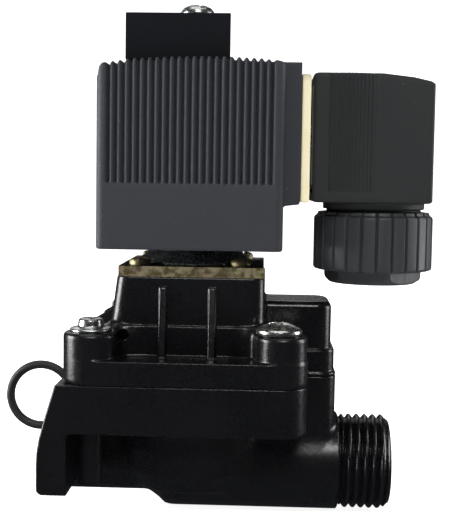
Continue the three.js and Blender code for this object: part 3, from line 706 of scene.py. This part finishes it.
def bonnet_passages(d, x, y, z):
    """the room of the diaphragm and the guide tube, the pilot ways, a blind hole and the screw holes"""
    r = np.hypot(x, y)
    # over the diaphragm, about the pilot seat, under the armature, and round the guide tube's foot
    d = cut(d, turned(x, y, z, [(0, 30), (15.5, 30), (15.5, 35), (13, 37.6), (0, 37.6)]))
    d = cut(d, meet(meet(r - 6.5, 2.2 - r, 0.1), 42.5 - z, 0.1))
    d = cut(d, meet(r - 6.5, 45 - z, 0.1))
    d = cut(d, meet(r - 9.6, 50.2 - z, 0.1))
    # from the pilot seat across and down to the side duct, and a bleed way up from the diaphragm
    d = cut(d, meet(r - 0.8, span(z, PILOT_Z, 46), 0.1))
    d = cut(d, meet(np.hypot(y, z - PILOT_Z) - PILOT_WAY_R, span(x, -0.5, 24.1), 0.1))
    way_x, way_r = DUCT_WAY
    d = cut(d, meet(np.hypot(x - way_x, y) - way_r, z - PILOT_Z, 0.1))
    d = cut(d, meet(np.hypot(x + 4.4, y) - 1, span(z, 37, 43), 0.1))
    blind_x, blind_z, blind_r = -13.8, 41.1, 1.1
    d = cut(d, meet(np.hypot(x - blind_x, z - blind_z) - blind_r, y + 13.6, 0.1), 0.15)
    for cx, cy in columns():
        d = cut(d, np.hypot(x - cx, y - cy) - BONNET_SCREW_HOLE_R, 0.1)
    for px, py in plate_screw_places():
        d = cut(d, meet(np.hypot(x - px, y - py) - 1.65, 45.6 - z, 0.1))
    return d


def make_bonnet():
    axes = (
        spaced(-26.6, (32.5, 0.33)),
        spaced(-25, (25.1, 0.33)),
        spaced(30.9, (54, 0.3)),
    )
    put(skin("bonnet_moulding", bonnet, axes), "valve", "body_plastic", "bonnet")


# ---- coil ---------------------------------------------------------------------------------
def groove_inset(x, z):
    """how far the ribbed faces lie behind the rib tops"""
    nearest = np.clip(np.round((x - GROOVE_FIRST_X) / GROOVE_PITCH), 0, GROOVE_COUNT - 1)
    away = np.abs(x - GROOVE_FIRST_X - nearest * GROOVE_PITCH) / (GROOVE_PITCH / 2)
    depth = GROOVE_DEPTH * np.clip(1 - away, 0, 1) ** 1.8
    return depth * fade(z, GROOVE_BOTTOM_Z - 0.15, GROOVE_BOTTOM_Z + 0.5)


def contact_holes(y, z, half_thick, half_wide, edge):
    """the flat holes of the three contact pins"""
    holes = []
    for py, pz, level in CONTACTS:
        half_y, half_z = (half_wide, half_thick) if level else (half_thick, half_wide)
        holes.append(meet(span(y, py - half_y, py + half_y), span(z, pz - half_z, pz + half_z), edge))
    return holes


def coil_housing(x, y, z):
    """the ribbed coil moulding with its slightly domed top, and the pad that the plug sits on"""
    inset = groove_inset(x, z)
    half_y = COIL_HALF_Y - inset
    plan = meet(np.abs(x) - COIL_HALF_X, np.abs(y) - half_y, 1.7)
    crown = outline(x, z, [
        (-40, 40), (-40, 94), (-19.6, 95.6), (-19.2, 97.0), (-18.3, 97.7), (-12.3, 98.6), (-5, 99.0),
        (2, 99.2), (7, 99.2), (14.6, 98.9), (19.6, 98.3), (40, 98), (40, 40),
    ])
    top = crown + inset * fade(np.abs(y), 12, 16.5)
    d = meet(plan, top, 1.0)
    d = meet(d, COIL_BOTTOM_Z - z, 0.5) * 0.62
    pad = outline(x, z, [
        (15, 62), (15, 98.6), (PAD_X, 98.6), (PAD_X, 69.0), (19.6, 68.6), (18.4, 68.4), (18, 62),
    ])
    d = fuse(d, meet(pad, np.abs(y) - PAD_HALF_Y, 0.35), 0.5)
    return coil_rooms(d, x, y, z)


def coil_rooms(d, x, y, z):
    """the bore for the guide tube, the winding's room and the holes of the pins and the plug's screw"""
    d = cut(d, meet(np.hypot(x, y) - 6.9, z - 98.5, 0.1), 0.2)
    d = cut(d, np.maximum(np.hypot(x, y) - 2.2, 90 - z))
    d = cut(d, block(x, y, z, (-15.7, 15.7), (-13.2, 13.2), (61.4, 96.6), 0.1))
    for hole in contact_holes(y, z, 0.45, 3.2, 0.05):
        d = cut(d, np.maximum(hole, 17.5 - x))
    return cut(d, np.maximum(np.hypot(y, z - PLUG_AXIS_Z) - 1.55, 18 - x))


def make_coil():
    axes = (
        spaced(-20, (-17.8, 0.25), (18, 0.128), (23.4, 0.25)),
        spaced(-19.4, (-17.4, 0.2), (-14, 0.4), (14, 1.0), (17.4, 0.4), (19.4, 0.2)),
        spaced(58.7, (60.5, 0.25), (72.4, 0.7), (74, 0.2), (93.5, 0.7), (99.5, 0.25)),
    )
    put(skin("coil_moulding", coil_housing, axes), "coil", "coil_plastic", "coil_housing")


def coil_cap(x, y, z):
    """a block that narrows a little towards the back, with a recess there"""
    plan = outline(x, y, [(-14.3, -12.5), (7.9, -12.5), (6.9, 12.5), (-13.3, 12.5)])
    d = meet(plan, span(z, COIL_TOP_Z, CAP_TOP_Z), 0.22)
    d = cut(d, block(x, y, z, (-12.6, 5.6), (11.7, 14), (101, 107), 0.3), 0.2)
    return cut(d, np.hypot(x, y) - 2.2, 0.15)


def make_coil_cap():
    axes = (spaced(-14.8, (8.4, 0.3)), spaced(-13, (13, 0.3)), spaced(98.6, (109.3, 0.25)))
    put(skin("cap_moulding", coil_cap, axes), "coil", "cap_plastic", "coil_cap")


# ---- plug and gland -----------------------------------------------------------------------
def plug_housing(x, y, z):
    """a hollow shell with finely ribbed side panels and ribs on top, over a round neck for the nut"""
    panel = fade(x, 28.7, 29.1) * (1 - fade(x, 38.4, 38.8)) * fade(z, 71.6, 72.0)
    half_y = PLUG_HALF_Y - panel * (0.1 + 0.16 * ripple(x, 29.1, 0.8))
    ribbed_top = fade(x, 29.0, 29.4) * (1 - fade(x, 38.2, 38.6)) * (1 - fade(np.abs(y), 11.6, 12.4))
    top_ribs = 0.32 * ripple(x, 30.2, 1.4) * ribbed_top
    front = outline(x, z, [
        (PLUG_X[0], 69.5), (PLUG_X[1], 69.5), (PLUG_X[1], 94.8), (46.5, 95.9), (40, 96.65),
        (34, 96.75), (PLUG_X[0], 96.7),
    ])
    shell = meet(front, np.maximum(x - PLUG_X[1], PLUG_X[0] - x), 1.5)
    shell = meet(shell - top_ribs * 0.5, np.abs(y) - half_y, 1.1)
    shell = np.maximum(shell, PLUG_X[0] - x)
    radius = 10.55 + 0.42 * np.clip(np.cos(2 * math.pi * (z - 64.2) / 1.5), -0.4, 1)
    neck = meet(np.hypot(x - GLAND_X, y) - radius, span(z, 60, 72), 0.2) * 0.6
    collar = rod(x - GLAND_X, y, z, 11.2, (68.0, 72), 0.3)
    d = fuse(shell, fuse(neck, collar, 0.2), 0.5)
    # the room for the terminals, the gland's bore in two steps, and the screw's counterbored hole
    d = cut(d, block(x, y, z, (20, PLUG_X[1] - 2), (-12, 12), (71.5, 94.3), 0.5))
    d = cut(d, np.maximum(np.hypot(x - GLAND_X, y) - 8.4, z - 67.6))
    d = cut(d, np.maximum(np.hypot(x - GLAND_X, y) - 6, z - 73))
    d = cut(d, np.maximum(np.hypot(y, z - PLUG_AXIS_Z) - 1.9, 48 - x))
    return cut(d, np.maximum(np.hypot(y, z - PLUG_AXIS_Z) - 3.4, PLUG_X[1] - 0.8 - x), 0.3)


def make_plug():
    axes = (
        spaced(24.7, (28.6, 0.3), (39, 0.11), (51.7, 0.3)),
        spaced(-14.4, (-13.3, 0.18), (13.3, 0.5), (14.4, 0.18)),
        spaced(59.6, (69, 0.22), (71, 0.3), (94, 0.6), (97.2, 0.25)),
    )
    put(skin("plug_moulding", plug_housing, axes), "plug", "plug_plastic", "connector_housing")


def plug_gasket(x, y, z):
    """a flat gasket whose edge bulges half way through its thickness"""
    plate = meet(span(y, -PLUG_HALF_Y, PLUG_HALF_Y), span(z, 69.4, 96.5), 2)
    plate = meet(plate, span(x, PAD_X, PLUG_X[0]), 0.3)
    bead = 0.12 * np.cos(2 * math.pi * (x - PAD_X) / (PLUG_X[0] - PAD_X))
    d = (plate + np.clip(bead, 0, 1)) * 0.8
    d = cut(d, np.hypot(y, z - PLUG_AXIS_Z) - 2.2)
    for hole in contact_holes(y, z, 0.8, 3.6, 0.1):
        d = cut(d, hole)
    return d


def make_gasket():
    axes = (spaced(22.7, (25.4, 0.15)), spaced(-14.4, (14.4, 0.35)), spaced(69, (96.9, 0.35)))
    put(skin("plug_gasket", plug_gasket, axes), "coil", "gasket_rubber", "connector_gasket")


def gland_nut(x, y, z):
    """a hollow round nut with grooves all round it and a hexagon below"""
    u = x - GLAND_X
    r = np.hypot(u, y)
    turn = (np.arctan2(y, u) + math.radians(120.8)) * NUT_RIBS / (2 * math.pi)
    away = np.abs(turn - np.round(turn)) * 2 * math.pi * NUT_R / NUT_RIBS
    groove = 0.6 * (1 - fade(away, 0.05, 0.42))
    shell = [
        (PAST_AXIS, 54.6), (12.4, 54.6), (13.0, 54.8), (NUT_R, 55.2), (NUT_R, 66.0), (12.9, 66.5),
        (12.5, 66.7), (12.2, 67.4), (PAST_AXIS, 67.4),
    ]
    d = outline(r + groove, z, shell) * 0.75
    hexagon = np.full(np.shape(u), -1e9)
    for side in range(6):
        angle = math.radians(13 + 60 * side)
        hexagon = np.maximum(hexagon, u * math.cos(angle) + y * math.sin(angle) - 9.6)
    cone = turned(u, y, z, [(0, 51.7), (9.4, 51.7), (10.6, 52.5), (10.9, 53.2), (10.9, 57), (0, 57)])
    d = fuse(d, meet(meet(hexagon, cone, 0.15), z - 57, 0.1), 0.2)
    d = cut(d, np.maximum(r - 11.15, 58.4 - z))
    return cut(d, r - 5.5, 0.3)


def make_gland_nut():
    axes = (
        spaced(GLAND_X - 13.6, (GLAND_X + 13.6, 0.17)),
        spaced(-13.6, (13.6, 0.17)),
        spaced(51.3, (55.8, 0.25), (65.5, 0.9), (67.8, 0.25)),
    )
    put(skin("gland_nut_moulding", gland_nut, axes), "gland_nut", "gland_plastic", "gland_nut")


# ---- screws, rings and the collar ---------------------------------------------------------
def screw_field(x, y, z, profile, recess):
    """a head on z = 0 and up, its shank below; recess is (half width, reach, bottom, is it a cross)"""
    d = turned(x, y, z, profile)
    slot_half, reach, bottom, crossed = recess
    slot = block(x, y, z, (-slot_half, slot_half), (-reach, reach), (bottom, bottom + 9), 0.12)
    if crossed:
        other = block(x, y, z, (-reach, reach), (-slot_half, slot_half), (bottom, bottom + 9), 0.12)
        slot = fuse(slot, other, 0.3)
    return cut(d, slot, 0.12)


# profiles of (radius, height): the front right, front left and back body screws come first
DOME_SCREW = [
    (0, -19.9), (2, -19.9), (2, 0), (4.45, 0), (4.72, 0.2), (4.8, 0.65), (4.72, 1.1), (4.4, 1.4),
    (3.4, 1.85), (2.2, 2.35), (1.1, 2.62), (0, 2.7),
]
CROWN_SCREW = [
    (0, -19.9), (2, -19.9), (2, 0), (4.15, 0), (4.35, 0.2), (4.35, 0.5), (4.1, 0.72), (3.1, 0.9),
    (2.75, 1.2), (2.55, 2.35), (2.35, 2.62), (1.9, 2.75), (0, 2.75),
]
BACK_SCREW = [(0, -19.9), (2, -19.9), (2, 0), (2.25, 0), (2.4, 0.15), (2.4, 1.6), (2.1, 2.0), (0, 2.2)]
PLATE_SCREW = [
    (0, -9.5), (1.5, -9.5), (1.5, 0), (2.3, 0), (2.3, 0.7), (2.1, 1.1), (1.6, 1.45), (0.8, 1.6), (0, 1.6),
]
COIL_SCREW = [
    (0, -18.4), (1.95, -18.4), (1.95, 0), (3.85, 0), (3.85, 1.1), (3.7, 1.6), (3.3, 2.2), (2.6, 2.65),
    (1.6, 2.92), (0, 3.0),
]
PLUG_SCREW = [
    (0, -31.4), (1.45, -31.4), (1.45, 0), (3.1, 0), (3.1, 0.85), (2.95, 1.15), (2.5, 1.35), (0, 1.4),
]


def make_screw(name, profile, recess, step):
    head_r = max(r for r, _ in profile)
    low, high = profile[0][1], profile[-1][1]
    side = spaced(-head_r - 0.3, (head_r + 0.3, step))
    axes = (side, side, spaced(low - 0.4, (-0.6, 0.8), (high + 0.3, step)))
    return skin(name, lambda x, y, z: screw_field(x, y, z, profile, recess), axes)


def copy_of(obj, name):
    """another object with the same mesh"""
    made = bpy.data.objects.new(name, obj.data)
    bpy.context.scene.collection.objects.link(made)
    return made


def stand(obj, at, turn_deg):
    """sets a piece upright at a place, turned about its own axis"""
    obj.location = Vector(at) * MM
    obj.rotation_euler = (0, 0, math.radians(turn_deg))


def make_screws():
    crown = make_screw("body_screw_1_turned", CROWN_SCREW, (0.45, 2.1, 1.6, True), 0.15)
    dome = make_screw("body_screw_2_turned", DOME_SCREW, (0.5, 2.3, 1.5, True), 0.15)
    back = make_screw("body_screw_3_turned", BACK_SCREW, (0.35, 1.5, 1.3, True), 0.13)
    plate = make_screw("plate_screw_1_turned", PLATE_SCREW, (0.3, 3.0, 0.95, False), 0.12)
    turns_deg = (20, 5, 35, 80)
    plate_places = plate_screw_places()
    for i, (cx, cy) in enumerate(columns()):
        screw = (crown, dome, back)[i] if i < 3 else copy_of(back, f"body_screw_{i + 1}_turned")
        stand(screw, (cx, cy, COLUMN_TOP_Z), turns_deg[i])
        put(screw, "valve", "bright_steel", f"body_screw_{i + 1}")
        clamp = plate if i == 0 else copy_of(plate, f"plate_screw_{i + 1}_turned")
        stand(clamp, (*plate_places[i], PLATE_TOP_Z), 90 - turns_deg[i])
        put(clamp, "valve", "zinc_yellow", f"plate_screw_{i + 1}")
    top = make_screw("coil_screw_turned", COIL_SCREW, (0.5, 5.0, 1.9, False), 0.14)
    stand(top, (0, 0, CAP_TOP_Z + 0.6), 25)
    put(top, "coil", "bright_steel", "coil_screw")
    side = make_screw("connector_screw_turned", PLUG_SCREW, (0.4, 5.0, 0.75, False), 0.14)
    side.location = Vector((50.6, 0, PLUG_AXIS_Z)) * MM
    side.rotation_euler = (0, math.radians(90), 0)
    put(side, "plug_screw", "bright_steel", "connector_screw")


def make_spare_ring():
    def ring(x, y, z):
        middle = np.hypot(x - RING_AT[0], z - RING_AT[2]) - RING_MAJOR_R
        return np.hypot(middle, y - RING_AT[1]) - RING_MINOR_R

    x0, y0, z0 = RING_AT
    reach = RING_MAJOR_R + RING_MINOR_R + 0.4
    axes = (
        spaced(x0 - reach, (x0 + reach, 0.2)),
        spaced(y0 - 1.4, (y0 + 1.4, 0.2)),
        spaced(z0 - reach, (z0 + reach, 0.2)),
    )
    put(skin("spare_ring", ring, axes), "loose_ring", "black_rubber", "spare_oring")


def make_collar():
    profile = [(6.8, 55.6), (12.9, 55.6), (12.9, 56.0), (12.4, 56.35), (10, 58.15), (9.7, 58.4), (6.8, 58.4)]
    axes = (spaced(-13.3, (13.3, 0.22)), spaced(-13.3, (13.3, 0.22)), spaced(55.3, (58.7, 0.1)))
    collar = skin("collar_turned", lambda x, y, z: outline(np.hypot(x, y), z, profile), axes)
    put(collar, "valve", "bright_steel", "tube_collar")


# ---- what stays as the CAD made it --------------------------------------------------------
def finish_cad_nodes():
    """every CAD node gets its slot's finish, and the ones that show get a small rounding of their edges"""
    slots = {part["node"]: part["material_slot"] for part in frame["record"]["subparts"]}
    for name, obj in frame["nodes"].items():
        obj.data.materials.clear()
        obj.data.materials.append(FINISHES[slots[name]])
        if obj.hide_render:
            continue
        bevel = obj.modifiers.new("edges", "BEVEL")
        bevel.width = 0.12 * MM
        bevel.segments = 2
        bevel.limit_method = "ANGLE"
        bevel.angle_limit = math.radians(40)
        bevel.harden_normals = False


# ---- stage --------------------------------------------------------------------------------
def pale_floor():
    """a floor that runs up into a backdrop"""
    f = Finish("floor", (0.9, 0.9, 0.9), 0.9)
    f.shader.inputs["Emission Color"].default_value = (1, 1, 1, 1)
    f.shader.inputs["Emission Strength"].default_value = 0.9
    path = [(-1.2, 0.0), (0.7, 0.0)]
    path += [(0.7 + 0.5 * math.sin(a), 0.5 - 0.5 * math.cos(a)) for a in np.linspace(0.1, 1.57, 16)]
    path.append((1.2, 2.2))
    points = [(x, y, z - 0.0002) for y, z in path for x in (-2.5, 2.5)]
    faces = [(2 * i, 2 * i + 1, 2 * i + 3, 2 * i + 2) for i in range(len(path) - 1)]
    mesh = bpy.data.meshes.new("floor")
    mesh.from_pydata(points, [], faces)
    mesh.shade_smooth()
    floor = bpy.data.objects.new("floor", mesh)
    floor.data.materials.append(f.material)
    floor.visible_glossy = False
    bpy.context.scene.collection.objects.link(floor)


def area_light(name, at, target, size, power):
    light = bpy.data.lights.new(name, "AREA")
    light.shape = "RECTANGLE"
    light.size, light.size_y = size
    light.energy = power
    obj = bpy.data.objects.new(name, light)
    obj.location = at
    obj.rotation_mode = "QUATERNION"
    obj.rotation_quaternion = (Vector(target) - Vector(at)).to_track_quat("-Z", "Y")
    bpy.context.scene.collection.objects.link(obj)


def lights():
    centre = (0.005, 0, 0.055)
    area_light("left", (-0.545, -0.07, 0.12), centre, (0.28, 0.34), 5.0)
    area_light("front_top", (0.06, -0.45, 0.42), centre, (0.22, 0.1), 1.25)
    area_light("top", (0.0, 0.05, 0.6), centre, (0.5, 0.4), 0.9)
    area_light("right", (0.57, 0.1, 0.16), centre, (0.24, 0.4), 2.0)
    area_light("back", (-0.1, 0.55, 0.35), centre, (0.6, 0.3), 0.6)
    world = bpy.data.worlds.new("world")
    world.use_nodes = True
    shade = world.node_tree.nodes["Background"]
    shade.inputs["Color"].default_value = (0.9, 0.95, 1, 1)
    shade.inputs["Strength"].default_value = 0.03
    bpy.context.scene.world = world
    bpy.context.scene.view_settings.view_transform = "Standard"
    bpy.context.scene.view_settings.look = "None"


def camera():
    data = bpy.data.cameras.new("camera")
    data.sensor_width = 36
    # the frame's longer side takes in 511 mm at 1000 mm from the lens
    data.lens = 36 * 1000 / 511
    data.clip_start, data.clip_end = 0.01, 10
    obj = bpy.data.objects.new("camera", data)
    azimuth, elevation = math.radians(2.2), math.radians(4.1)
    distance = 225.7
    level = math.cos(elevation)
    back = Vector((math.sin(azimuth) * level, -math.cos(azimuth) * level, math.sin(elevation)))
    obj.location = (Vector((6.9, 0, 57.0)) + back * distance) * MM
    obj.rotation_mode = "QUATERNION"
    roll = Quaternion((0, 0, 1), math.radians(0.85))
    obj.rotation_quaternion = (-back).to_track_quat("-Z", "Y") @ roll
    bpy.context.scene.collection.objects.link(obj)
    bpy.context.scene.camera = obj


make_valve_body()
make_bonnet()
make_coil()
make_coil_cap()
make_plug()
make_gasket()
make_gland_nut()
make_screws()
make_spare_ring()
make_collar()
finish_cad_nodes()
pale_floor()
lights()
camera()
